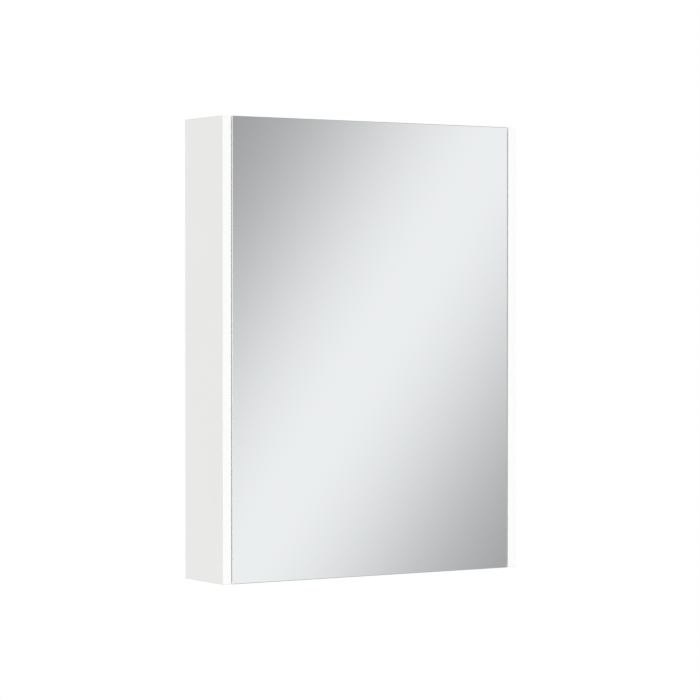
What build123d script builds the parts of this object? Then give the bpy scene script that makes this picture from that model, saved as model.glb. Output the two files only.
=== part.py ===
from build123d import *
from math import atan2, degrees, tan
import os

# Wall-hung mirror cabinet with one full-height mirror door between its side panels. Millimetres.
# X runs to the right along the front, Y back to the wall, Z up. The origin is under the cabinet's middle.

# Cabinet
cabinet_width = 550.0
cabinet_height = 720.0
cabinet_depth = 120.0
board = 15.0                  # side, top, bottom and door boards
edge_round = 0.8
bottom_raise = 14.0           # finger room under the bottom panel

# Door: mirror glass taped on a board
mirror_thickness = 4.0
mirror_arris = 0.8
tape_thickness = 1.0
tape_width = 25.0
tape_count = 4
tape_end_margin = 30.0
door_side_gap = 2.0           # door edge to side panel
door_back_gap = 4.0           # door to the front edges of the top and bottom panels
grip_bevel = 9.0
bumper_radius = 4.0
bumper_inset = 14.0           # from the door's free edge
bumper_gap = 0.3

# Back panel in its groove
back_thickness = 3.0
back_recess = 16.0            # wall to the back panel
groove_depth = 6.0
groove_play = 0.2
panel_play = 0.5              # back panel short of the groove's floor

# Glass shelves on pins
shelf_thickness = 5.0
shelf_count = 2               # in equal spaces
shelf_side_gap = 1.0
shelf_front_gap = 10.0        # behind the door board
shelf_back_gap = 1.0
shelf_corner = 3.0
shelf_arris = 0.5
pin_radius = 2.5
pin_hole_depth = 10.0
pin_seat_depth = 9.0
pin_collar_radius = 4.5
pin_collar = 1.2
pin_tongue_radius = 4.0
pin_tongue_length = 12.0
pin_front_inset = 24.0        # from the top panel's front edge
pin_back_inset = 12.0         # from the back panel
pin_pitch = 32.0              # spare holes above and below
pad_radius = 3.5
pad_thickness = 1.0
fit_gap = 0.05                # running or sliding radial gap

# Corner joints: cams, cam bolts and dowels
cam_radius = 7.5
cam_height = 12.0
cam_from_end = 24.0
cam_front_inset = 20.0        # front cam, from the panel's front edge
cam_back_inset = 30.0         # rear cam, from the wall
cam_slot_width = 1.4
cam_slot_length = 9.0
cam_slot_depth = 2.0
bolt_thread_radius = 2.5
bolt_thread_length = 10.0
bolt_collar_radius = 3.7
bolt_collar_length = 2.5
bolt_neck_radius = 2.0
bolt_head_radius = 3.3
bolt_head_length = 3.0
end_bore_radius = 4.0
dowel_radius = 4.0
dowel_length = 30.0
dowel_in_side = 9.5
dowel_chamfer = 0.8

# Hangers in the upper rear corners, with their wall plates
hanger_width = 17.0
hanger_depth = 36.0
hanger_height = 60.0
hanger_wall = 1.8
hanger_top_gap = 5.0          # below the top panel
hanger_corner = 3.0
hook_width = 9.0
hook_thickness = 4.0
hook_plate_depth = 18.0       # from the back panel forward to the hook's threaded plate
hook_lip_drop = 9.0
hook_lip_from_wall = 3.0
hook_lip_thickness = 2.5
hook_from_top = 16.0          # housing's top to the hook arm's top
notch_gap = 2.0
hanger_screw_radius = 2.5
hanger_screw_head_radius = 4.25
hanger_screw_head = 2.5
hanger_screw_length = 30.0
hanger_screw_low = 12.0       # lower screw above the housing's lower end
hanger_screw_high = 10.0      # upper screw below the hook's top
hanger_fixing_inset = 9.0     # fixing screws from the housing's front
hanger_fixing_end = 8.0
plate_thickness = 2.0
plate_width = 46.0
plate_height = 52.0
plate_lip_height = 14.0
plate_jog = 8.0               # lip's front face from the wall
plate_corner = 4.0
plate_hole_radius = 3.0
plate_hole_spacing = 24.0
plate_hole_height = 13.0      # above the plate's lower edge
plate_side_gap = 1.0

# Screws
screw_pilot_radius = 1.6
screw_thread_radius = 1.5
screw_length = 12.0
screw_head_radius = 3.5
screw_head_height = 1.8
recess_width = 1.0
recess_length = 4.2
recess_depth = 1.0

# Derived places
half_inside = cabinet_width / 2 - board
front = -cabinet_depth / 2
wall = cabinet_depth / 2
door_thickness = mirror_thickness + tape_thickness + board
door_back = front + door_thickness
carcass_front = door_back + door_back_gap
back_front = wall - back_recess - back_thickness
back_rear = wall - back_recess
bottom_top = bottom_raise + board
top_under = cabinet_height - board
shelf_pitch = (top_under - bottom_top) / (shelf_count + 1)
# Undersides of the shelves
shelf_levels = [bottom_top + (i + 1) * shelf_pitch - shelf_thickness for i in range(shelf_count)]
door_half = half_inside - door_side_gap
cam_rows = (carcass_front + cam_front_inset, wall - cam_back_inset)
dowel_row = sum(cam_rows) / 2
pin_rows = (carcass_front + pin_front_inset, back_front - pin_back_inset)
sides = {"left": -1, "right": 1}


def inner_plane(side, x=half_inside):
    """Plane on a side panel's inner face, looking into the cabinet; its own x runs along Y."""
    return Plane(origin=(side * x, 0, 0), x_dir=(0, -side, 0), z_dir=(-side, 0, 0))


def on_inner(side, points, x=half_inside):
    return [inner_plane(side, x).location * Location((-side * y, z, 0)) for y, z in points]


def save(part, name):
    part.label = name
    export_step(part, f"parts/{name}.step")


def save_group(pieces, name):
    """One node of several equal, separate pieces."""
    save(Compound(children=pieces), name)


os.makedirs("parts", exist_ok=True)

# Corner joint rows: height of the panel's middle, and +1 where the cams go in from above
joints = {"top": (cabinet_height - board / 2, 1), "bottom": (bottom_raise + board / 2, -1)}
pin_height = {level: level - pad_thickness for level in shelf_levels}   # tongue tops
pin_axis = {level: top - 1.5 for level, top in pin_height.items()}

# Concealed hinges on the right-hand side panel. In the plan of a hinge, u runs inward from the side panel's
# inner face and v backward from the door board's rear face.
hinge_from_end = 112.0        # hinge centre from each end of the cabinet
hinge_levels = {"lower": hinge_from_end, "upper": cabinet_height - hinge_from_end}
arm_pin_centre = (38.0, 6.7)      # centre link on the arm
arm_pin_side = (38.8, 12.4)       # side links on the arm
cup_pin_centre = (16.1, -8.3)     # centre link in the cup
cup_pin_side = (15.4, -4.3)       # side links in the cup
hinge_pin_radius = 1.25
pin_running_gap = 0.06
centre_link_half = 3.2        # half its thickness along Z
side_link_inner = 3.9
side_link_outer = 5.3
flange_inner = 6.0            # arm flanges and cup cheeks
flange_outer = 7.4
rivet_head_radius = 2.2
rivet_head = 0.8
link_half_width = 2.1
link_eye_radius = 2.5
link_bend = 4.0
centre_link_crank = (31.5, -7.8)
side_link_cranks = ((32.4, -4.8), (29.7, 14.8))
side_link_bend = 2.0
side_link_half_width = 1.8
side_link_eye_radius = 2.4
slip_length = 2.8             # slot along the side link, where its arm pin slides
slip_shift = -0.077
slip_hole_radius = 1.6
slip_eye_radius = 2.5
slip_mouth = 2.6              # the slot is open past this, clear of the other arm pin
stub_inner = 3.7              # short cup pins end beside the centre link
cup_edge = 3.0                # door edge to the cup's bore
cup_radius = 17.5
cup_bore_gap = 0.1
cup_depth = 12.5
cup_wall = 1.2
cup_rim = 2.5                 # flange past the cup
cup_flange_inset = 1.0        # flange from the door's edge
cup_flange_trim = 20.0        # width of what is trimmed off the flange there
cup_cheek = (11.5, 19.5)      # u of the cheeks that carry the pins
cup_cheek_top = -1.2
cup_cheek_corner = 3.0
cup_floor = 1.2
cup_flange = 1.2
cup_ear_radius = 6.5
cup_screw_height = 24.0       # above and below the cup's middle
cup_screw_offset = 6.0        # from the cup's middle, away from the door's edge
cup_bore_floor_gap = 0.3
arm_sheet = 1.4
arm_top = 15.4                # arm's top over the side panel, on the plate's ridge
arm_low = 5.0                 # flanges' lower edge over the side panel
arm_front = 44.8              # u of the web past the pins
arm_nose_width = 10.4
arm_mouth = 3.4               # v of the front end
arm_shoulder = 18.5
arm_throat = 22.0
arm_throat_rise = 10.0        # throat in front of the flanges' bend
arm_nose_height = 6.0
arm_bend = 32.0
arm_rise = 2.4                # bend of the web behind that of the flanges
arm_end = 64.0
mount_base = 3.0
mount_ear_radius = 7.0
mount_hole_spacing = 32.0
mount_holes_back = 37.0       # v of the two plate screws
mount_ridge_half = 5.7
mount_ridge_front = 29.0
mount_ridge_back = 60.0
arm_screw_rows = (42.0, 54.0)
arm_screw_radius = 2.0
arm_screw_head_radius = 3.6
arm_screw_head = 2.0
arm_screw_length = 9.0
cup_middle = door_side_gap + cup_edge + cup_radius


def plan(u, v):
    """World x and y of a point in a hinge's plan."""
    return (half_inside - u, door_back + v)


def make_side_panel(side):
    with BuildPart() as panel:
        with BuildSketch(Plane.XY):
            with Locations((side * (half_inside + board / 2), 0)):
                Rectangle(board, cabinet_depth)
        extrude(amount=cabinet_height)
        fillet(panel.faces().sort_by(Axis.Y)[0].edges(), edge_round)
        with BuildSketch(Plane.XY.offset(bottom_top - groove_depth)):
            with Locations((side * (half_inside + groove_depth / 2), (back_front + back_rear) / 2)):
                Rectangle(groove_depth, back_thickness + groove_play)
        extrude(amount=top_under - bottom_top + 2 * groove_depth, mode=Mode.SUBTRACT)
        heights = [z + i * pin_pitch for z in pin_axis.values() for i in (-1, 0, 1)]
        with Locations(*on_inner(side, [(y, z) for y in pin_rows for z in heights])):
            Hole(pin_radius + fit_gap, pin_hole_depth)
        for z, up in joints.values():
            with Locations(*on_inner(side, [(y, z) for y in cam_rows])):
                Hole(bolt_thread_radius + fit_gap, bolt_thread_length + 1)
            with Locations(*on_inner(side, [(dowel_row, z)])):
                Hole(dowel_radius + fit_gap, dowel_in_side + 1)
        with Locations(*on_inner(side, hanger_fixings)):
            Hole(screw_pilot_radius, screw_length)
        if side > 0:
            with Locations(*on_inner(side, mount_fixings)):
                Hole(screw_pilot_radius, screw_length)
    return panel.part


def make_crossboard(joint):
    """Top or bottom panel, with cam bores, end bores and the back panel's groove."""
    middle, up = joints[joint]
    with BuildPart() as panel:
        with BuildSketch(Plane.XY.offset(middle - board / 2)):
            with Locations((0, (carcass_front + wall) / 2)):
                Rectangle(2 * half_inside, wall - carcass_front)
        extrude(amount=board)
        fillet(panel.faces().sort_by(Axis.Y)[0].edges().filter_by(Axis.X), edge_round)
        inner_face = middle - up * board / 2
        with BuildSketch(Plane.XY.offset(inner_face)):
            with Locations((0, (back_front + back_rear) / 2)):
                Rectangle(2 * half_inside, back_thickness + groove_play)
        extrude(amount=up * groove_depth, mode=Mode.SUBTRACT)
        outer_face = Plane(origin=(0, 0, middle + up * board / 2), x_dir=(1, 0, 0), z_dir=(0, 0, up))
        cams = [(s * (half_inside - cam_from_end), up * y) for s in sides.values() for y in cam_rows]
        with Locations(*[outer_face.location * Location((x, y, 0)) for x, y in cams]):
            Hole(cam_radius + fit_gap, cam_height + 0.2)
        for s in sides.values():
            end = Plane(origin=(s * half_inside, 0, middle), x_dir=(0, s, 0), z_dir=(s, 0, 0))
            with Locations(*[end.location * Location((s * y, 0, 0)) for y in cam_rows]):
                Hole(end_bore_radius, cam_from_end)
            with Locations(end.location * Location((s * dowel_row, 0, 0))):
                Hole(dowel_radius + fit_gap, dowel_length - dowel_in_side + 1)
    return panel.part


def make_cam(side, y, joint):
    """Cam housing: a drum with a pocket for the bolt's head and a crossed drive on its face."""
    middle, up = joints[joint]
    face = middle + up * board / 2
    with BuildPart() as cam:
        with BuildSketch(Plane(origin=(side * (half_inside - cam_from_end), y, face), z_dir=(0, 0, -up))):
            Circle(cam_radius)
        extrude(amount=cam_height)
        pocket = (side * (half_inside - cam_from_end + cam_radius / 2), y, middle)
        with Locations(pocket):
            Box(cam_radius + 2 * bolt_head_length, 2 * bolt_head_radius + 0.8, 2 * bolt_head_radius + 0.8,
                mode=Mode.SUBTRACT)
        with Locations((side * (half_inside - cam_from_end), y, face)):
            Box(cam_slot_length, cam_slot_width, 2 * cam_slot_depth, mode=Mode.SUBTRACT)
            Box(cam_slot_width, cam_slot_length, 2 * cam_slot_depth, mode=Mode.SUBTRACT)
    return cam.part


def make_cam_bolt(side, y, joint):
    """Cam bolt turned about X: thread in the side panel, collar, neck and head in the cam."""
    middle, up = joints[joint]
    plane = Plane(origin=(side * half_inside, y, middle), x_dir=(side, 0, 0), z_dir=(0, 1, 0))
    neck_end = -(cam_from_end - bolt_head_length)
    with BuildPart() as bolt:
        with BuildSketch(plane):
            with BuildLine():
                Polyline((bolt_thread_length, 0), (bolt_thread_length, bolt_thread_radius),
                         (0, bolt_thread_radius), (0, bolt_collar_radius),
                         (-bolt_collar_length, bolt_collar_radius), (-bolt_collar_length, bolt_neck_radius),
                         (neck_end, bolt_neck_radius), (neck_end, bolt_head_radius),
                         (neck_end - bolt_head_length, bolt_head_radius), (neck_end - bolt_head_length, 0),
                         close=True)
            make_face()
        revolve(axis=Axis(plane.origin, plane.x_dir))
    return bolt.part


def make_dowel(side, joint):
    middle, up = joints[joint]
    with BuildPart() as dowel:
        start = Plane(origin=(side * (half_inside + dowel_in_side), dowel_row, middle), z_dir=(-side, 0, 0))
        with BuildSketch(start):
            Circle(dowel_radius)
        extrude(amount=dowel_length)
        chamfer(dowel.edges().filter_by(GeomType.CIRCLE), dowel_chamfer)
    return dowel.part


def make_back_panel():
    with BuildPart() as panel:
        half = half_inside + groove_depth - panel_play
        low = bottom_top - groove_depth + panel_play
        high = top_under + groove_depth - panel_play
        with BuildSketch(Plane.XZ.offset(-(back_front + groove_play / 2))):
            with Locations((0, (low + high) / 2)):
                Rectangle(2 * half, high - low)
            notch_low = hanger_low - notch_gap
            for s in sides.values():
                with Locations((s * half, (notch_low + high) / 2)):
                    Rectangle(2 * (half - half_inside + hanger_width + notch_gap), high - notch_low,
                              mode=Mode.SUBTRACT)
        extrude(amount=-back_thickness)
    return panel.part


def make_shelf(level):
    with BuildPart() as shelf:
        with BuildSketch(Plane.XY.offset(level)):
            front_edge = door_back + shelf_front_gap
            back_edge = back_front - shelf_back_gap
            with Locations((0, (front_edge + back_edge) / 2)):
                RectangleRounded(2 * (half_inside - shelf_side_gap), back_edge - front_edge, shelf_corner)
        extrude(amount=shelf_thickness)
        faces = shelf.faces().sort_by(Axis.Z)
        chamfer(faces[0].edges() + faces[-1].edges(), shelf_arris)
    return shelf.part


def make_shelf_pin(side, y, level):
    """Shelf pin: stud in the side panel, collar, and a tongue with a flat top."""
    axis = pin_axis[level]
    with BuildPart() as pin:
        with BuildSketch(inner_plane(side)):
            with Locations((-side * y, axis)):
                Circle(pin_radius)
        extrude(amount=-pin_seat_depth)
        with BuildSketch(inner_plane(side)):
            with Locations((-side * y, axis)):
                Circle(pin_collar_radius)
            with Locations((-side * y, pin_height[level] + pin_collar_radius)):
                Rectangle(4 * pin_collar_radius, 2 * pin_collar_radius, mode=Mode.SUBTRACT)
        extrude(amount=pin_collar)
        with BuildSketch(inner_plane(side)):
            with Locations((-side * y, axis)):
                Circle(pin_tongue_radius)
            with Locations((-side * y, pin_height[level] + pin_tongue_radius)):
                Rectangle(4 * pin_tongue_radius, 2 * pin_tongue_radius, mode=Mode.SUBTRACT)
        extrude(amount=pin_tongue_length)
    return pin.part


def make_shelf_pad(side, y, level):
    with BuildPart() as pad:
        x = side * (half_inside - (pin_collar + pin_tongue_length) / 2)
        with BuildSketch(Plane.XY.offset(pin_height[level])):
            with Locations((x, y)):
                Circle(pad_radius)
        extrude(amount=pad_thickness)
    return pad.part


def make_pan_screw(plane, length, shank_radius, head_radius, head_height):
    """Pan-head screw with a crossed recess; the plane is under its head, facing out."""
    with BuildPart() as screw:
        with BuildSketch(plane):
            Circle(head_radius)
        extrude(amount=head_height)
        chamfer(screw.edges().filter_by(GeomType.CIRCLE).sort_by_distance(plane.origin)[-1], head_height / 3)
        with BuildSketch(plane):
            Circle(shank_radius)
        extrude(amount=-length)
        with BuildSketch(plane.offset(head_height)):
            Rectangle(recess_length, recess_width)
            Rectangle(recess_width, recess_length)
        extrude(amount=-recess_depth, mode=Mode.SUBTRACT)
    return screw.part


def make_hanger_housing(side):
    """Hanger housing: a shell open at the rear, with two screw holes in its front wall."""
    with BuildPart() as housing:
        low, high = hanger_low, hanger_low + hanger_height
        centre = (side * hanger_middle, back_front - hanger_depth / 2, (low + high) / 2)
        with Locations(centre):
            Box(hanger_width, hanger_depth, hanger_height)
        inner_edges = housing.faces().sort_by(Axis.Y)[0].edges()
        fillet(inner_edges, hanger_corner / 2)
        with Locations((centre[0], centre[1] + hanger_wall, centre[2])):
            Box(hanger_width - 2 * hanger_wall, hanger_depth, hanger_height - 2 * hanger_wall,
                mode=Mode.SUBTRACT)
        front_wall = Plane(origin=(side * hanger_middle, hanger_front, 0), x_dir=(1, 0, 0), z_dir=(0, -1, 0))
        with Locations(*[front_wall.location * Location((0, z, 0)) for z in hanger_screw_heights]):
            Hole(hanger_screw_radius + 0.2, 2 * hanger_wall)
        with Locations(*on_inner(side, hanger_fixings, half_inside - hanger_width)):
            Hole(screw_head_radius + 0.6, 2 * hanger_wall)
        with Locations(*on_inner(side, hanger_fixings, half_inside - hanger_wall)):
            Hole(screw_pilot_radius, 2 * hanger_wall)
    return housing.part


def make_hook(side):
    """Hook bent from strip: threaded plate in the housing, arm to the rear and lip behind the wall plate."""
    lip_rear = wall - hook_lip_from_wall
    plate_front = back_front - hook_plate_depth
    plate_low = min(hanger_screw_heights) - 7.0
    with BuildPart() as hook:
        with BuildSketch(Plane.YZ.offset(side * hanger_middle - hook_width / 2)):
            with BuildLine():
                Polyline((plate_front, plate_low), (plate_front, hook_top), (lip_rear, hook_top),
                         (lip_rear, hook_top - hook_thickness - hook_lip_drop),
                         (lip_rear - hook_lip_thickness, hook_top - hook_thickness - hook_lip_drop),
                         (lip_rear - hook_lip_thickness, hook_top - hook_thickness),
                         (plate_front + hook_thickness, hook_top - hook_thickness),
                         (plate_front + hook_thickness, plate_low), close=True)
            make_face()
        extrude(amount=hook_width)
        corners = hook.edges().filter_by(Axis.X).group_by(Axis.Z)[-1]
        fillet(corners, hook_thickness - 1.5)
        face = Plane(origin=(side * hanger_middle, plate_front, 0), x_dir=(1, 0, 0), z_dir=(0, -1, 0))
        with Locations(*[face.location * Location((0, z, 0)) for z in hanger_screw_heights]):
            Hole(hanger_screw_radius + fit_gap, hook_thickness + 1)
    return hook.part


def make_wall_plate(side):
    """Wall plate of bent sheet: flat with two screw holes, then a jog and an upright lip for the hook."""
    low = plate_top - plate_height
    lip_low = plate_top - plate_lip_height
    sheet = plate_thickness
    with BuildPart() as plate:
        with BuildSketch(Plane.YZ.offset(plate_middle * side - plate_width / 2)):
            with BuildLine():
                Polyline((wall, low), (wall, lip_low - plate_jog), (wall - plate_jog + sheet, lip_low),
                         (wall - plate_jog + sheet, plate_top), (wall - plate_jog, plate_top),
                         (wall - plate_jog, lip_low - sheet / 2),
                         (wall - sheet, lip_low - plate_jog - sheet / 2),
                         (wall - sheet, low), close=True)
            make_face()
        extrude(amount=plate_width)
        corners = plate.edges().filter_by(Axis.Y).group_by(Axis.Z)
        fillet(corners[0], plate_corner)
        fillet(plate.edges().filter_by(Axis.Y).group_by(Axis.Z)[-1], plate_corner)
        flat = Plane(origin=(side * plate_middle, wall, 0), x_dir=(-1, 0, 0), z_dir=(0, 1, 0))
        holes = [(s * plate_hole_spacing / 2, low + plate_hole_height) for s in sides.values()]
        with Locations(*[flat.location * Location((x, z, 0)) for x, z in holes]):
            Hole(plate_hole_radius, 2 * sheet)
    return plate.part


def make_door_board():
    with BuildPart() as door:
        with BuildSketch(Plane.XY):
            with Locations((0, door_back - board / 2)):
                Rectangle(2 * door_half, board)
        extrude(amount=cabinet_height)
        low_rear = door.edges().filter_by(Axis.X).group_by(Axis.Z)[0].sort_by(Axis.Y)[-1]
        chamfer(low_rear, grip_bevel)
        rear = Plane(origin=(0, door_back, 0), x_dir=(-1, 0, 0), z_dir=(0, 1, 0))
        cup_x = plan(cup_middle, 0)[0]
        with Locations(*[rear.location * Location((-cup_x, z, 0)) for z in hinge_levels.values()]):
            Hole(cup_radius + cup_bore_gap, cup_depth + cup_bore_floor_gap)
        with Locations(*[rear.location * Location((-x, z, 0)) for x, z in cup_screw_places]):
            Hole(screw_pilot_radius, screw_length)
    return door.part


def make_mirror():
    with BuildPart() as mirror:
        with BuildSketch(Plane.XY):
            with Locations((0, front + mirror_thickness / 2)):
                Rectangle(2 * door_half, mirror_thickness)
        extrude(amount=cabinet_height)
        chamfer(mirror.faces().sort_by(Axis.Y)[0].edges(), mirror_arris)
    return mirror.part


def make_tape(index):
    pitch = (2 * door_half - 2 * tape_end_margin - tape_width) / (tape_count - 1)
    x = -door_half + tape_end_margin + tape_width / 2 + index * pitch
    with BuildPart() as tape:
        with BuildSketch(Plane.XY.offset(tape_end_margin)):
            with Locations((x, front + mirror_thickness + tape_thickness / 2)):
                Rectangle(tape_width, tape_thickness)
        extrude(amount=cabinet_height - 2 * tape_end_margin)
    return tape.part


def make_bumper(z):
    """Door bumper: a low domed pad on the door, against the carcass's front edge."""
    reach = door_back_gap - bumper_gap
    place = Plane(origin=(-door_half + bumper_inset, door_back, z), z_dir=(0, 1, 0))
    with BuildPart() as bumper:
        with BuildSketch(place):
            Circle(bumper_radius)
        extrude(amount=reach)
        fillet(bumper.edges().filter_by(GeomType.CIRCLE).sort_by(Axis.Y)[-1], reach / 2)
    return bumper.part


def make_centre_link(z):
    """Centre link: one cranked plate from the arm's front pin to the cup's floor pin."""
    ends = (cup_pin_centre, arm_pin_centre)
    with BuildPart() as link:
        with BuildSketch(Plane.XY.offset(z - centre_link_half)):
            with BuildLine():
                FilletPolyline(plan(*ends[0]), plan(*centre_link_crank), plan(*ends[1]), radius=link_bend)
            trace(line_width=2 * link_half_width)
            with Locations(*[plan(*end) for end in ends]):
                Circle(link_eye_radius)
                Circle(hinge_pin_radius + pin_running_gap, mode=Mode.SUBTRACT)
        extrude(amount=2 * centre_link_half)
    return link.part


def make_side_link(z, up):
    """Side link: a cranked plate beside the centre link, with a slot where it meets the arm."""
    rise = arm_pin_side[1] - cup_pin_side[1]
    run = arm_pin_side[0] - cup_pin_side[0]
    with BuildPart() as link:
        with BuildSketch(Plane.XY.offset(z + up * side_link_inner)):
            with BuildLine():
                FilletPolyline(plan(*cup_pin_side), *[plan(*p) for p in side_link_cranks],
                               plan(*arm_pin_side), radius=side_link_bend)
            trace(line_width=2 * side_link_half_width)
            with Locations(plan(*cup_pin_side)):
                Circle(side_link_eye_radius)
                Circle(hinge_pin_radius + pin_running_gap, mode=Mode.SUBTRACT)
            slot_turn = -degrees(atan2(rise, run))
            with Locations(Location((*plan(*arm_pin_side), 0), (0, 0, slot_turn))):
                SlotOverall(slip_length + 2 * slip_eye_radius, 2 * slip_eye_radius)
                with Locations((0, slip_shift)):
                    SlotOverall(slip_length + 2 * slip_hole_radius, 2 * slip_hole_radius, mode=Mode.SUBTRACT)
                with Locations((slip_mouth + slip_eye_radius, slip_hole_radius - slip_eye_radius)):
                    Rectangle(2 * slip_eye_radius, 2 * slip_eye_radius, mode=Mode.SUBTRACT)
        extrude(amount=up * (side_link_outer - side_link_inner))
    return link.part


def make_cup(z):
    """Hinge cup: pressed cup with a flange, two screw ears and two cheeks that carry the link pins."""
    centre = plan(cup_middle, 0)
    with BuildPart() as cup:
        rim = Plane(origin=(*centre, z), x_dir=(-1, 0, 0), z_dir=(0, 1, 0))
        with BuildSketch(rim):
            Circle(cup_radius + cup_rim)
            ears = [(cup_screw_offset, s * cup_screw_height) for s in (-1, 1)]
            with Locations(*ears):
                Circle(cup_ear_radius)
            with Locations((cup_screw_offset, 0)):
                Rectangle(2 * cup_ear_radius, 2 * cup_screw_height)
            trim_edge = door_side_gap + cup_flange_inset - cup_middle
            with Locations((trim_edge - cup_flange_trim / 2, 0)):
                Rectangle(cup_flange_trim, 4 * cup_radius, mode=Mode.SUBTRACT)
            with Locations(*ears):
                Circle(screw_thread_radius + 0.3, mode=Mode.SUBTRACT)
        extrude(amount=cup_flange)
        with BuildSketch(rim):
            Circle(cup_radius)
        extrude(amount=-cup_depth)
        with BuildSketch(rim.offset(cup_flange)):
            Circle(cup_radius - cup_wall)
        extrude(amount=-(cup_depth + cup_flange - cup_floor), mode=Mode.SUBTRACT)
        floor = cup_floor - cup_depth
        low_u, high_u = cup_cheek
        outline = [(low_u, floor), (high_u, floor), (high_u, cup_cheek_top - cup_cheek_corner),
                   (high_u - cup_cheek_corner, cup_cheek_top), (low_u + cup_cheek_corner, cup_cheek_top),
                   (low_u, cup_cheek_top - cup_cheek_corner)]
        for low in (z - flange_outer, z + flange_inner):
            with BuildSketch(Plane.XY.offset(low)):
                Polygon(*[plan(*point) for point in outline], align=None)
                with Locations(plan(*cup_pin_centre), plan(*cup_pin_side)):
                    Circle(hinge_pin_radius, mode=Mode.SUBTRACT)
            extrude(amount=flange_outer - flange_inner)
    return cup.part


def make_arm(z):
    """Hinge arm: a channel of bent sheet, wide over the links and narrow over the mounting plate."""
    outline = [(arm_front, arm_mouth), (arm_front, arm_shoulder), (arm_top, arm_bend + arm_rise),
               (arm_top, arm_end), (arm_low, arm_end), (arm_low, arm_bend),
               (arm_throat, arm_bend - arm_throat_rise),
               (arm_front - arm_nose_width, arm_mouth + arm_nose_height),
               (arm_front - arm_nose_width, arm_mouth)]
    web = outline[:4]
    with BuildPart() as arm:
        for low in (z - flange_outer, z + flange_inner):
            with BuildSketch(Plane.XY.offset(low)):
                Polygon(*[plan(*point) for point in outline], align=None)
                with Locations(plan(*arm_pin_centre), plan(*arm_pin_side)):
                    Circle(hinge_pin_radius, mode=Mode.SUBTRACT)
            extrude(amount=flange_outer - flange_inner)
        with BuildSketch(Plane.XY.offset(z - flange_outer)):
            setback = arm_sheet * tan(atan2(arm_front - arm_top, arm_bend + arm_rise - arm_shoulder) / 2)
            inner = [(arm_top - arm_sheet, arm_end),
                     (arm_top - arm_sheet, arm_bend + arm_rise - setback),
                     (arm_front - arm_sheet, arm_shoulder - setback),
                     (arm_front - arm_sheet, arm_mouth)]
            Polygon(*[plan(*point) for point in web + inner], align=None)
        extrude(amount=2 * flange_outer)
        face = Plane(origin=(half_inside - arm_top, 0, z), x_dir=(0, 1, 0), z_dir=(-1, 0, 0))
        with Locations(*[face.location * Location((door_back + v, 0, 0)) for v in arm_screw_rows]):
            Hole(arm_screw_radius + fit_gap, 2 * arm_sheet)
    return arm.part


def make_hinge_pin(place, z, low, high):
    with BuildPart() as pin:
        with BuildSketch(Plane.XY.offset(z + low)):
            with Locations(plan(*place)):
                Circle(hinge_pin_radius)
        extrude(amount=high - low)
    return pin.part


def make_arm_pin(place, z):
    """Rivet through both arm flanges, with a head on each side."""
    with BuildPart() as pin:
        with BuildSketch(Plane.XY.offset(z - flange_outer)):
            with Locations(plan(*place)):
                Circle(hinge_pin_radius)
        extrude(amount=2 * flange_outer)
        for low in (z - flange_outer - rivet_head, z + flange_outer):
            with BuildSketch(Plane.XY.offset(low)):
                with Locations(plan(*place)):
                    Circle(rivet_head_radius)
            extrude(amount=rivet_head)
    return pin.part


def make_mounting_plate(z):
    """Mounting plate: flat base with two screw ears, and a ridge that carries the arm."""
    base = inner_plane(1)
    middle = door_back + (mount_ridge_front + mount_ridge_back) / 2
    ridge_length = mount_ridge_back - mount_ridge_front
    with BuildPart() as plate:
        with BuildSketch(base):
            with Locations((-middle, z)):
                RectangleRounded(ridge_length, 2 * flange_outer, 2)
            with Locations((-(door_back + mount_holes_back), z)):
                SlotCenterToCenter(mount_hole_spacing, 2 * mount_ear_radius, rotation=90)
        extrude(amount=mount_base)
        with BuildSketch(base.offset(mount_base)):
            with Locations((-middle, z)):
                Rectangle(ridge_length, 2 * mount_ridge_half)
        extrude(amount=arm_top - arm_sheet - mount_base)
        ears = [(y, z + s * mount_hole_spacing / 2) for y, s in plate_rows]
        with Locations(*on_inner(1, ears, half_inside - mount_base)):
            Hole(screw_thread_radius + 0.3, mount_base)
        seats = [(door_back + v, z) for v in arm_screw_rows]
        with Locations(*on_inner(1, seats, half_inside - arm_top + arm_sheet)):
            Hole(arm_screw_radius + fit_gap, arm_top - arm_sheet - 1)
    return plate.part


# Derived places of hangers, hinges and their screws
hanger_middle = half_inside - hanger_width / 2
hanger_low = top_under - hanger_top_gap - hanger_height
hanger_front = back_front - hanger_depth
hook_top = hanger_low + hanger_height - hook_from_top
hanger_screw_heights = (hanger_low + hanger_screw_low, hook_top - hanger_screw_high)
hanger_fixings = [(hanger_front + hanger_fixing_inset, hanger_low + hanger_fixing_end),
                  (hanger_front + hanger_fixing_inset, hanger_low + hanger_height - hanger_fixing_end)]
plate_top = hook_top - hook_thickness
plate_middle = half_inside - plate_side_gap - plate_width / 2
plate_rows = [(door_back + mount_holes_back, s) for s in (-1, 1)]
mount_fixings = [(y, z + s * mount_hole_spacing / 2) for z in hinge_levels.values() for y, s in plate_rows]
cup_screw_x = plan(cup_middle + cup_screw_offset, 0)[0]
cup_screw_places = [(cup_screw_x, z + s * cup_screw_height) for z in hinge_levels.values() for s in (-1, 1)]
corners = [(side, joint) for side in sides.values() for joint in joints]

for name, side in sides.items():
    save(make_side_panel(side), f"{name}_side_panel")
    save(make_hanger_housing(side), f"hanger_housing_{name}")
    save(make_hook(side), f"hanger_hook_{name}")
    save(make_wall_plate(side), f"wall_plate_{name}")
save(make_crossboard("top"), "top_panel")
save(make_crossboard("bottom"), "bottom_panel")
save(make_back_panel(), "back_panel")
save_group([make_cam(side, y, joint) for side, joint in corners for y in cam_rows], "cam_housings")
save_group([make_cam_bolt(side, y, joint) for side, joint in corners for y in cam_rows], "cam_bolts")
save_group([make_dowel(side, joint) for side, joint in corners], "dowels")

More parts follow.
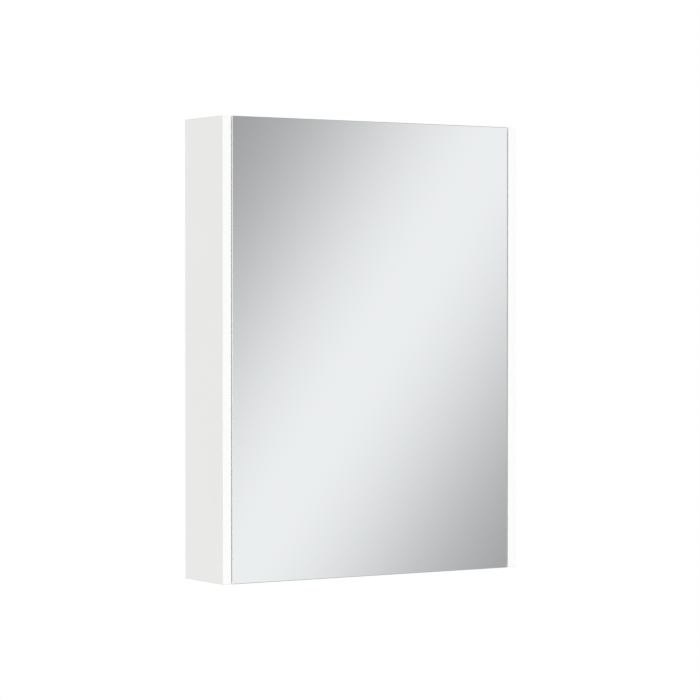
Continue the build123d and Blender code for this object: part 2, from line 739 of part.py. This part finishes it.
for name, level in zip(("lower", "upper"), shelf_levels):
    save(make_shelf(level), f"shelf_{name}")
pin_places = [(side, y, level) for side in sides.values() for y in pin_rows for level in shelf_levels]
save_group([make_shelf_pin(*place) for place in pin_places], "shelf_pins")
save_group([make_shelf_pad(*place) for place in pin_places], "shelf_pads")

hanger_screws = []
hanger_fixing_screws = []
for side in sides.values():
    for z in hanger_screw_heights:
        plane = Plane(origin=(side * hanger_middle, hanger_front, z), z_dir=(0, -1, 0))
        hanger_screws.append(make_pan_screw(plane, hanger_screw_length, hanger_screw_radius,
                                            hanger_screw_head_radius, hanger_screw_head))
    for y, z in hanger_fixings:
        plane = Plane(origin=(side * (half_inside - hanger_wall), y, z), z_dir=(-side, 0, 0))
        hanger_fixing_screws.append(make_pan_screw(plane, screw_length, screw_thread_radius,
                                                   screw_head_radius, screw_head_height))
save_group(hanger_screws, "hanger_screws")
save_group(hanger_fixing_screws, "hanger_fixing_screws")

save(make_door_board(), "door_board")
save(make_mirror(), "mirror_glass")
save_group([make_tape(index) for index in range(tape_count)], "mirror_tape_strips")
save_group([make_bumper(z) for z, up in joints.values()], "door_bumpers")

plate_screws, arm_screws, cup_screws, cup_pins, arm_pins = [], [], [], [], []
for name, z in hinge_levels.items():
    save(make_mounting_plate(z), f"hinge_plate_{name}")
    save(make_arm(z), f"hinge_arm_{name}")
    save(make_cup(z), f"hinge_cup_{name}")
    save(make_centre_link(z), f"centre_link_{name}")
    save_group([make_side_link(z, up) for up in (-1, 1)], f"side_links_{name}")
    arm_pins += [make_arm_pin(arm_pin_centre, z), make_arm_pin(arm_pin_side, z)]
    cup_pins.append(make_hinge_pin(cup_pin_centre, z, -flange_outer, flange_outer))
    cup_pins.append(make_hinge_pin(cup_pin_side, z, stub_inner, flange_outer))
    cup_pins.append(make_hinge_pin(cup_pin_side, z, -flange_outer, -stub_inner))
    for v in arm_screw_rows:
        plane = Plane(origin=(half_inside - arm_top, door_back + v, z), z_dir=(-1, 0, 0))
        arm_screws.append(make_pan_screw(plane, arm_screw_length, arm_screw_radius,
                                         arm_screw_head_radius, arm_screw_head))
for y, z in mount_fixings:
    plane = Plane(origin=(half_inside - mount_base, y, z), z_dir=(-1, 0, 0))
    plate_screws.append(make_pan_screw(plane, screw_length, screw_thread_radius,
                                       screw_head_radius, screw_head_height))
for x, z in cup_screw_places:
    plane = Plane(origin=(x, door_back + cup_flange, z), z_dir=(0, 1, 0))
    cup_screws.append(make_pan_screw(plane, screw_length, screw_thread_radius,
                                     screw_head_radius, screw_head_height))
save_group(plate_screws, "hinge_plate_screws")
save_group(arm_screws, "hinge_arm_screws")
save_group(cup_screws, "cup_screws")
save_group(arm_pins, "arm_pins")
save_group(cup_pins, "cup_pins")
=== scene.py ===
import bpy
import math
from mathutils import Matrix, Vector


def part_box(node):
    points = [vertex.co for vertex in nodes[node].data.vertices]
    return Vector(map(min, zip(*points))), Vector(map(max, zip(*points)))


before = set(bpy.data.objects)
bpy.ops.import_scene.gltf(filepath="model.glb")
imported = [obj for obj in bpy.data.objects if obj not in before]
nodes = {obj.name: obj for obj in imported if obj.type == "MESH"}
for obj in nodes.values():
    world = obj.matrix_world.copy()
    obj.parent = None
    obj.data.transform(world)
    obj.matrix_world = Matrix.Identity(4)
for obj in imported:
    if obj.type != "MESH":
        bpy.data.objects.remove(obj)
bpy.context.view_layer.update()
print("frame loaded,", len(nodes), "nodes")


# small helpers for node trees

def newNode(tree, kind, **settings):
    node = tree.nodes.new(kind)
    for key, value in settings.items():
        setattr(node, key, value)
    return node


def doMath(tree, operation, first, second=None):
    # first and second are either sockets or plain numbers
    node = newNode(tree, "ShaderNodeMath", operation=operation)
    for slotIndex, value in enumerate((first, second)):
        if value is None:
            continue
        if isinstance(value, (int, float)):
            node.inputs[slotIndex].default_value = value
        else:
            tree.links.new(value, node.inputs[slotIndex])
    return node.outputs[0]


def blendColour(tree, factor, colourA, colourB):
    node = newNode(tree, "ShaderNodeMix", data_type="RGBA")
    for slotIndex, value in ((0, factor), (6, colourA), (7, colourB)):
        socket = node.inputs[slotIndex]
        if hasattr(value, "links"):
            tree.links.new(value, socket)
        elif isinstance(value, (int, float)):
            socket.default_value = value
        else:
            socket.default_value = (*value, 1.0)
    return node.outputs[2]


def blendValue(tree, factor, low, high):
    node = newNode(tree, "ShaderNodeMapRange")
    tree.links.new(factor, node.inputs["Value"])
    node.inputs["To Min"].default_value = low
    node.inputs["To Max"].default_value = high
    return node.outputs["Result"]


def newMaterial(name):
    material = bpy.data.materials.new(name)
    material.use_nodes = True
    tree = material.node_tree
    tree.nodes.clear()
    shader = newNode(tree, "ShaderNodeBsdfPrincipled")
    output = newNode(tree, "ShaderNodeOutputMaterial")
    tree.links.new(shader.outputs["BSDF"], output.inputs["Surface"])
    coords = newNode(tree, "ShaderNodeTexCoord")
    return material, tree, shader, coords


def grain(tree, coords, scale, detail=3.0, stretch=None, roughness=0.5):
    # noise on Object coordinates, stretched along an axis where the finish is drawn or sawn
    noise = newNode(tree, "ShaderNodeTexNoise")
    noise.inputs["Scale"].default_value = scale
    noise.inputs["Detail"].default_value = detail
    noise.inputs["Roughness"].default_value = roughness
    source = coords.outputs["Object"]
    if stretch:
        mapping = newNode(tree, "ShaderNodeMapping")
        mapping.inputs["Scale"].default_value = stretch
        tree.links.new(source, mapping.inputs["Vector"])
        source = mapping.outputs["Vector"]
    tree.links.new(source, noise.inputs["Vector"])
    return noise.outputs["Fac"]


def addBump(tree, shader, height, strength, distance):
    bump = newNode(tree, "ShaderNodeBump")
    bump.inputs["Strength"].default_value = strength
    bump.inputs["Distance"].default_value = distance
    tree.links.new(height, bump.inputs["Height"])
    tree.links.new(bump.outputs["Normal"], shader.inputs["Normal"])


def near(tree, value, place, width):
    # 1 within width of a place along one axis, else 0
    offset = doMath(tree, "ABSOLUTE", doMath(tree, "SUBTRACT", value, place))
    return doMath(tree, "LESS_THAN", offset, width)


def splitAxes(tree, socket):
    node = newNode(tree, "ShaderNodeSeparateXYZ")
    tree.links.new(socket, node.inputs[0])
    return node.outputs


# white melamine board, with its edge bands and raw rear edge

melamine = {
    "colour": (0.880, 0.880, 0.872),
    "shade": (0.862, 0.862, 0.853),
    "bandJoint": (0.70, 0.70, 0.68),
    "bandThickness": 0.0010,
    "jointWidth": 0.00012,
    "smooth": 0.30,
    "rough": 0.42,
    "cloudScale": 6.0,
    "smearScale": 40.0,
    "pearlScale": 1400.0,
    "pearlDepth": 0.00012,
    "pearlStrength": 0.25,
    "ior": 1.48,
    "chipLight": (0.62, 0.47, 0.31),
    "chipDark": (0.36, 0.24, 0.14),
    "chipScale": 420.0,
    "chipStretch": (1.0, 1.0, 0.45),
    "chipContrast": (0.38, 0.62),
    "rawRough": 0.85,
}


def melamineBoard(name, joints=(), rawRear=False):
    # joints are (axis, place) of the fine line where an edge band meets the face
    material, tree, shader, coords = newMaterial(name)
    place = splitAxes(tree, coords.outputs["Object"])
    facing = splitAxes(tree, coords.outputs["Normal"])
    cloud = grain(tree, coords, melamine["cloudScale"], 2.0)
    colour = blendColour(tree, cloud, melamine["colour"], melamine["shade"])
    for axis, value in joints:
        line = near(tree, place[axis], value, melamine["jointWidth"])
        flat = doMath(tree, "LESS_THAN", doMath(tree, "ABSOLUTE", facing[axis]), 0.3)
        shown = doMath(tree, "MULTIPLY", line, flat)
        colour = blendColour(tree, shown, colour, melamine["bandJoint"])
    smear = grain(tree, coords, melamine["smearScale"], 4.0)
    roughness = blendValue(tree, smear, melamine["smooth"], melamine["rough"])
    if rawRear:
        raw = doMath(tree, "GREATER_THAN", facing["Y"], 0.9)
        chips = grain(tree, coords, melamine["chipScale"], 6.0, melamine["chipStretch"], 0.7)
        contrast = newNode(tree, "ShaderNodeMapRange")
        for end, level in zip(("From Min", "From Max"), melamine["chipContrast"]):
            contrast.inputs[end].default_value = level
        tree.links.new(chips, contrast.inputs["Value"])
        chipColour = blendColour(tree, contrast.outputs["Result"],
                                 melamine["chipDark"], melamine["chipLight"])
        colour = blendColour(tree, raw, colour, chipColour)
        rawRough = doMath(tree, "MULTIPLY", raw, melamine["rawRough"])
        roughness = doMath(tree, "MAXIMUM", roughness, rawRough)
    tree.links.new(colour, shader.inputs["Base Color"])
    tree.links.new(roughness, shader.inputs["Roughness"])
    shader.inputs["IOR"].default_value = melamine["ior"]
    pearl = grain(tree, coords, melamine["pearlScale"], 2.0)
    addBump(tree, shader, pearl, melamine["pearlStrength"], melamine["pearlDepth"])
    return material


# mirror: silvered front, ground arris and edges, painted rear

silver = {
    "colour": (0.950, 0.962, 0.968),
    "arrisPaintedReflection": (0.80, 0.82, 0.815),         # ground bevel down the two sides, lightened with a painted reflection
    "arrisEndsPaintedShade": (0.56, 0.58, 0.59),      # the same bevel along the top and bottom, darkened with painted shade
    "edge": (0.90, 0.93, 0.915),
    "backPaint": (0.33, 0.35, 0.37),
    "backFleck": (0.28, 0.30, 0.32),
    "fleckScale": 60.0,
    "clean": 0.0,
    "smudged": 0.018,
    "smudgeScale": 9.0,
    "groundRough": 0.16,
    "backRough": 0.3,                     # added on the painted rear
}


def silveredGlass():
    material, tree, shader, coords = newMaterial("silvered glass")
    facing = splitAxes(tree, coords.outputs["Normal"])
    front = doMath(tree, "LESS_THAN", facing["Y"], -0.95)
    ground = doMath(tree, "LESS_THAN", facing["Y"], -0.3)
    rear = doMath(tree, "GREATER_THAN", facing["Y"], 0.9)
    fleck = blendColour(tree, grain(tree, coords, silver["fleckScale"]),
                        silver["backPaint"], silver["backFleck"])
    colour = blendColour(tree, rear, silver["edge"], fleck)
    # the bevel's colour holds painted light: lighter down the sides as a painted reflection, darker along
    # the top and bottom as painted shade
    ends = doMath(tree, "GREATER_THAN", doMath(tree, "ABSOLUTE", facing["Z"]), 0.3)
    bevelPaintedLight = blendColour(tree, ends, silver["arrisPaintedReflection"], silver["arrisEndsPaintedShade"])
    colour = blendColour(tree, ground, colour, bevelPaintedLight)
    colour = blendColour(tree, front, colour, silver["colour"])
    tree.links.new(colour, shader.inputs["Base Color"])
    silvered = doMath(tree, "MAXIMUM", front, doMath(tree, "MULTIPLY", ground, ends))
    tree.links.new(silvered, shader.inputs["Metallic"])
    smudges = grain(tree, coords, silver["smudgeScale"], 4.0)
    smudge = blendValue(tree, smudges, silver["clean"], silver["smudged"])
    notFront = doMath(tree, "SUBTRACT", 1.0, front)
    matt = doMath(tree, "ADD", doMath(tree, "MULTIPLY", notFront, silver["groundRough"]),
                  doMath(tree, "MULTIPLY", rear, silver["backRough"]))
    tree.links.new(doMath(tree, "ADD", smudge, matt), shader.inputs["Roughness"])
    return material


# clear shelf glass with greener, ground edges

shelfGlass = {
    "face": (0.93, 0.975, 0.955),
    "edge": (0.46, 0.74, 0.64),
    "polish": 0.01,
    "ground": 0.22,
    "edgeClear": 0.35,          # how much light the ground edges let through
    "ior": 1.5,
    "speckScale": 300.0,
    "speckRough": 0.02,
    "speckStrength": 0.02,
    "speckDepth": 0.0001,
}


def clearGlass():
    material, tree, shader, coords = newMaterial("shelf glass")
    facing = splitAxes(tree, coords.outputs["Normal"])
    edge = doMath(tree, "LESS_THAN", doMath(tree, "ABSOLUTE", facing["Z"]), 0.9)
    speck = grain(tree, coords, shelfGlass["speckScale"], 4.0)
    tint = blendColour(tree, edge, shelfGlass["face"], shelfGlass["edge"])
    tree.links.new(tint, shader.inputs["Base Color"])
    rough = blendValue(tree, edge, shelfGlass["polish"], shelfGlass["ground"])
    speckled = doMath(tree, "ADD", rough, doMath(tree, "MULTIPLY", speck, shelfGlass["speckRough"]))
    tree.links.new(speckled, shader.inputs["Roughness"])
    clear = blendValue(tree, edge, 1.0, shelfGlass["edgeClear"])
    tree.links.new(clear, shader.inputs["Transmission Weight"])
    shader.inputs["IOR"].default_value = shelfGlass["ior"]
    addBump(tree, shader, speck, shelfGlass["speckStrength"], shelfGlass["speckDepth"])
    return material


# plated steel

plated = {
    "patchScale": 90.0,
    "bumpStrength": 0.3,
    "nickel": {
        "light": (0.74, 0.72, 0.68), "dark": (0.60, 0.58, 0.55), "rough": (0.16, 0.30),
        "scale": 500.0, "stretch": (1.0, 0.12, 1.0), "depth": 0.00003,
    },
    "zinc": {
        "light": (0.68, 0.71, 0.75), "dark": (0.48, 0.51, 0.54), "rough": (0.28, 0.46),
        "scale": 900.0, "stretch": (1.0, 1.0, 1.0), "depth": 0.00004,
    },
}


def platedSteel(name):
    look = plated[name]
    material, tree, shader, coords = newMaterial(name + " plating")
    drawn = grain(tree, coords, look["scale"], 4.0, look["stretch"], 0.6)
    patch = grain(tree, coords, plated["patchScale"])
    colour = blendColour(tree, patch, look["light"], look["dark"])
    tree.links.new(colour, shader.inputs["Base Color"])
    tree.links.new(blendValue(tree, drawn, *look["rough"]), shader.inputs["Roughness"])
    shader.inputs["Metallic"].default_value = 1.0
    addBump(tree, shader, drawn, plated["bumpStrength"], look["depth"])
    return material


# plastics, beech and foam tape

plastics = {
    "cloudScale": 50.0,
    "sparkScale": 1100.0,
    "bumpStrength": 0.2,
    "bumpDepth": 0.00008,
    "white": {"light": (0.86, 0.86, 0.85), "dark": (0.82, 0.82, 0.80), "rough": (0.30, 0.44), "clear": 0.0},
    "clear": {"light": (0.90, 0.91, 0.92), "dark": (0.84, 0.86, 0.87), "rough": (0.14, 0.28), "clear": 0.35},
}


def mouldedPlastic(name):
    look = plastics[name]
    material, tree, shader, coords = newMaterial(name + " moulding")
    spark = grain(tree, coords, plastics["sparkScale"])
    cloud = grain(tree, coords, plastics["cloudScale"])
    tree.links.new(blendColour(tree, cloud, look["light"], look["dark"]), shader.inputs["Base Color"])
    tree.links.new(blendValue(tree, spark, *look["rough"]), shader.inputs["Roughness"])
    shader.inputs["Transmission Weight"].default_value = look["clear"]
    addBump(tree, shader, spark, plastics["bumpStrength"], plastics["bumpDepth"])
    return material


beech = {
    "light": (0.70, 0.50, 0.31),
    "dark": (0.50, 0.32, 0.17),
    "fleckScale": 700.0,
    "fleckStretch": (0.06, 1.0, 1.0),
    "rough": (0.50, 0.70),
    "bumpStrength": 0.4,
    "bumpDepth": 0.0002,
}


def beechWood():
    material, tree, shader, coords = newMaterial("beech")
    fibre = grain(tree, coords, beech["fleckScale"], 6.0, beech["fleckStretch"], 0.65)
    tree.links.new(blendColour(tree, fibre, beech["light"], beech["dark"]), shader.inputs["Base Color"])
    tree.links.new(blendValue(tree, fibre, *beech["rough"]), shader.inputs["Roughness"])
    addBump(tree, shader, fibre, beech["bumpStrength"], beech["bumpDepth"])
    return material


foam = {
    "light": (0.80, 0.80, 0.77),
    "dark": (0.66, 0.66, 0.63),
    "cellScale": 1500.0,
    "rough": 0.85,
    "bumpStrength": 0.5,
    "bumpDepth": 0.0002,
}


def foamTape():
    material, tree, shader, coords = newMaterial("foam tape")
    cells = newNode(tree, "ShaderNodeTexVoronoi")
    cells.inputs["Scale"].default_value = foam["cellScale"]
    tree.links.new(coords.outputs["Object"], cells.inputs["Vector"])
    tree.links.new(blendColour(tree, cells.outputs["Distance"], foam["light"], foam["dark"]),
                   shader.inputs["Base Color"])
    shader.inputs["Roughness"].default_value = foam["rough"]
    addBump(tree, shader, cells.outputs["Distance"], foam["bumpStrength"], foam["bumpDepth"])
    return material


hardboard = {
    "light": (0.86, 0.86, 0.85),
    "dark": (0.80, 0.80, 0.78),
    "cloudScale": 8.0,
    "fibreScale": 320.0,
    "rough": (0.38, 0.55),
    "bumpStrength": 0.3,
    "bumpDepth": 0.00015,
}


def lacqueredHardboard():
    material, tree, shader, coords = newMaterial("lacquered hardboard")
    fibre = grain(tree, coords, hardboard["fibreScale"], 6.0, None, 0.65)
    cloud = grain(tree, coords, hardboard["cloudScale"])
    colour = blendColour(tree, cloud, hardboard["light"], hardboard["dark"])
    tree.links.new(colour, shader.inputs["Base Color"])
    tree.links.new(blendValue(tree, fibre, *hardboard["rough"]), shader.inputs["Roughness"])
    addBump(tree, shader, fibre, hardboard["bumpStrength"], hardboard["bumpDepth"])
    return material


# each node gets its finish

def bandJoints(node, axes):
    low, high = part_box(node)
    step = melamine["bandThickness"]
    return [(axis, low["XYZ".index(axis)] + step) for axis in axes] + \
           [(axis, high["XYZ".index(axis)] - step) for axis in axes]


def finish(material, *names):
    for name in names:
        mesh = nodes[name].data
        mesh.materials.clear()
        mesh.materials.append(material)


for nodeName in ("left_side_panel", "right_side_panel"):
    lines = bandJoints(nodeName, "Z") + [("Y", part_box(nodeName)[0].y + melamine["bandThickness"])]
    finish(melamineBoard(nodeName + " melamine", lines, True), nodeName)
for nodeName in ("top_panel", "bottom_panel"):
    lines = [("Y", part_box(nodeName)[0].y + melamine["bandThickness"])]
    finish(melamineBoard(nodeName + " melamine", lines, True), nodeName)
finish(melamineBoard("door melamine", bandJoints("door_board", "XZ")), "door_board")
finish(lacqueredHardboard(), "back_panel")
finish(silveredGlass(), "mirror_glass")
finish(clearGlass(), "shelf_upper", "shelf_lower")
finish(foamTape(), "mirror_tape_strips")
finish(mouldedPlastic("white"), "hanger_housing_left", "hanger_housing_right")
finish(mouldedPlastic("clear"), "shelf_pads", "door_bumpers")
finish(beechWood(), "dowels")
finish(platedSteel("nickel"), "shelf_pins", "hinge_plate_upper", "hinge_plate_lower", "hinge_arm_upper",
       "hinge_arm_lower", "hinge_cup_upper", "hinge_cup_lower", "centre_link_upper", "centre_link_lower",
       "side_links_upper", "side_links_lower")
finish(platedSteel("zinc"), "cam_housings", "cam_bolts", "hanger_screws", "hanger_fixing_screws",
       "hanger_hook_left", "hanger_hook_right", "wall_plate_left", "wall_plate_right", "hinge_plate_screws",
       "hinge_arm_screws", "cup_screws", "arm_pins", "cup_pins")
print("finishes given")


# room: pale floor far below the hanging cabinet, white surroundings with soft light bands

room = {
    "floorHeight": -0.60,
    "floorRadius": 2.4,
    "floorColour": (0.85, 0.85, 0.84),
    "floorShade": (0.84, 0.84, 0.83),
    "floorCloud": 5.0,
    "floorRough": 0.9,
    "floorLift": 0.22,          # added for what sees the floor directly, so that it reads white
    "ambient": 0.842,
    "bandTop": 237.0,           # brightest grey in the light bands, of 255
    "bandFall": 82.0,
    "bandAzimuth": 29.52,       # degrees from the cabinet's front, a point on one band's ridge
    "bandElevation": -5.78,
    "bandAcross": -0.8563,
    "bandUp": 0.5166,
    "bandPitch": 12.0,          # degrees from ridge to ridge
    "bandTint": (1.03, 1.04, 1.05),
    "sunStrength": 1.17,
    "sunFrom": (-0.28, -0.77, 0.574),
    "sunSize": 0.7,             # wide, for soft shadows
}


def layFloor():
    bpy.ops.object.select_all(action="DESELECT")
    bpy.ops.mesh.primitive_circle_add(vertices=96, radius=room["floorRadius"], fill_type="NGON",
                                      location=(0, 0, room["floorHeight"]))
    floor = bpy.context.object
    floor.name = "floor"
    material, tree, shader, coords = newMaterial("pale floor")
    shader.inputs["Roughness"].default_value = room["floorRough"]
    cloud = grain(tree, coords, room["floorCloud"])
    tint = blendColour(tree, cloud, room["floorColour"], room["floorShade"])
    tree.links.new(tint, shader.inputs["Base Color"])
    path = newNode(tree, "ShaderNodeLightPath")
    seen = doMath(tree, "MAXIMUM", path.outputs["Is Camera Ray"], path.outputs["Is Transmission Ray"])
    lift = newNode(tree, "ShaderNodeEmission")
    lift.inputs["Color"].default_value = (1, 1, 1, 1)
    tree.links.new(doMath(tree, "MULTIPLY", seen, room["floorLift"]), lift.inputs["Strength"])
    both = newNode(tree, "ShaderNodeAddShader")
    tree.links.new(shader.outputs[0], both.inputs[0])
    tree.links.new(lift.outputs[0], both.inputs[1])
    clear = newNode(tree, "ShaderNodeBsdfTransparent")
    side = newNode(tree, "ShaderNodeNewGeometry")
    pick = newNode(tree, "ShaderNodeMixShader")
    tree.links.new(side.outputs["Backfacing"], pick.inputs[0])
    tree.links.new(both.outputs[0], pick.inputs[1])
    tree.links.new(clear.outputs[0], pick.inputs[2])
    tree.links.new(pick.outputs[0], tree.nodes["Material Output"].inputs["Surface"])
    floor.data.materials.append(material)
    floor.visible_glossy = False    # the mirror shows the room's light bands below the horizon too


def lightRoom():
    scene = bpy.context.scene
    world = scene.world or bpy.data.worlds.new("room")
    scene.world = world
    world.use_nodes = True
    tree = world.node_tree
    tree.nodes.clear()
    coords = newNode(tree, "ShaderNodeTexCoord")
    along = splitAxes(tree, coords.outputs["Generated"])
    azimuth = doMath(tree, "ARCTAN2", along["X"], doMath(tree, "MULTIPLY", along["Y"], -1.0))
    elevation = doMath(tree, "ARCSINE", along["Z"])
    across = doMath(tree, "SUBTRACT", azimuth, math.radians(room["bandAzimuth"]))
    across = doMath(tree, "MULTIPLY", across, room["bandAcross"])
    up = doMath(tree, "SUBTRACT", elevation, math.radians(room["bandElevation"]))
    up = doMath(tree, "MULTIPLY", up, room["bandUp"])
    phase = doMath(tree, "MULTIPLY", doMath(tree, "ADD", across, up), 360.0 / room["bandPitch"])
    fall = doMath(tree, "SUBTRACT", 1.0, doMath(tree, "COSINE", phase))
    drop = doMath(tree, "MULTIPLY", fall, room["bandFall"] / 510)   # fall runs from 0 to 2
    grey = doMath(tree, "SUBTRACT", room["bandTop"] / 255, drop)
    level = doMath(tree, "POWER", grey, 2.2)
    bandColour = newNode(tree, "ShaderNodeCombineColor")
    for channel, gain in enumerate(room["bandTint"]):
        tree.links.new(doMath(tree, "MULTIPLY", level, gain), bandColour.inputs[channel])
    lamp = newNode(tree, "ShaderNodeBackground")
    lamp.inputs["Strength"].default_value = room["ambient"]
    lamp.inputs["Color"].default_value = (1, 1, 1, 1)
    plain = newNode(tree, "ShaderNodeBackground")
    plain.inputs["Color"].default_value = (1, 1, 1, 1)
    bands = newNode(tree, "ShaderNodeBackground")
    tree.links.new(bandColour.outputs[0], bands.inputs["Color"])
    path = newNode(tree, "ShaderNodeLightPath")
    glossy = newNode(tree, "ShaderNodeMixShader")
    tree.links.new(path.outputs["Is Glossy Ray"], glossy.inputs[0])
    tree.links.new(lamp.outputs[0], glossy.inputs[1])
    tree.links.new(bands.outputs[0], glossy.inputs[2])
    seen = doMath(tree, "MAXIMUM", path.outputs["Is Camera Ray"], path.outputs["Is Transmission Ray"])
    direct = newNode(tree, "ShaderNodeMixShader")
    tree.links.new(seen, direct.inputs[0])
    tree.links.new(glossy.outputs[0], direct.inputs[1])
    tree.links.new(plain.outputs[0], direct.inputs[2])
    output = newNode(tree, "ShaderNodeOutputWorld")
    tree.links.new(direct.outputs[0], output.inputs["Surface"])
    bpy.ops.object.light_add(type="SUN", location=(-1.5, -3.0, 2.5))
    sun = bpy.context.object
    sun.name = "soft key light"
    sun.data.energy = room["sunStrength"]
    sun.data.angle = room["sunSize"]
    towards = [-value for value in room["sunFrom"]]
    sun.rotation_euler = (math.atan2(math.hypot(towards[0], towards[1]), -towards[2]), 0,
                          math.atan2(towards[0], -towards[1]) + math.pi)
    sun.visible_glossy = False
    scene.view_settings.view_transform = "Standard"


layFloor()
lightRoom()
print("room ready")


# camera at the photograph's angle

photoCamera = {
    "place": (-2.3246, -3.7110, 0.4251),
    "yaw": 0.55813,
    "pitch": 0.01543,
    "lens": 140.4,
    "sensor": 36.0,
    "farClip": 60.0,
}


def placeCamera():
    bpy.ops.object.camera_add(location=photoCamera["place"],
                              rotation=(math.pi / 2 - photoCamera["pitch"], 0, -photoCamera["yaw"]))
    camera = bpy.context.object
    camera.data.lens = photoCamera["lens"]
    camera.data.sensor_width = photoCamera["sensor"]
    camera.data.clip_end = photoCamera["farClip"]
    bpy.context.scene.camera = camera


placeCamera()
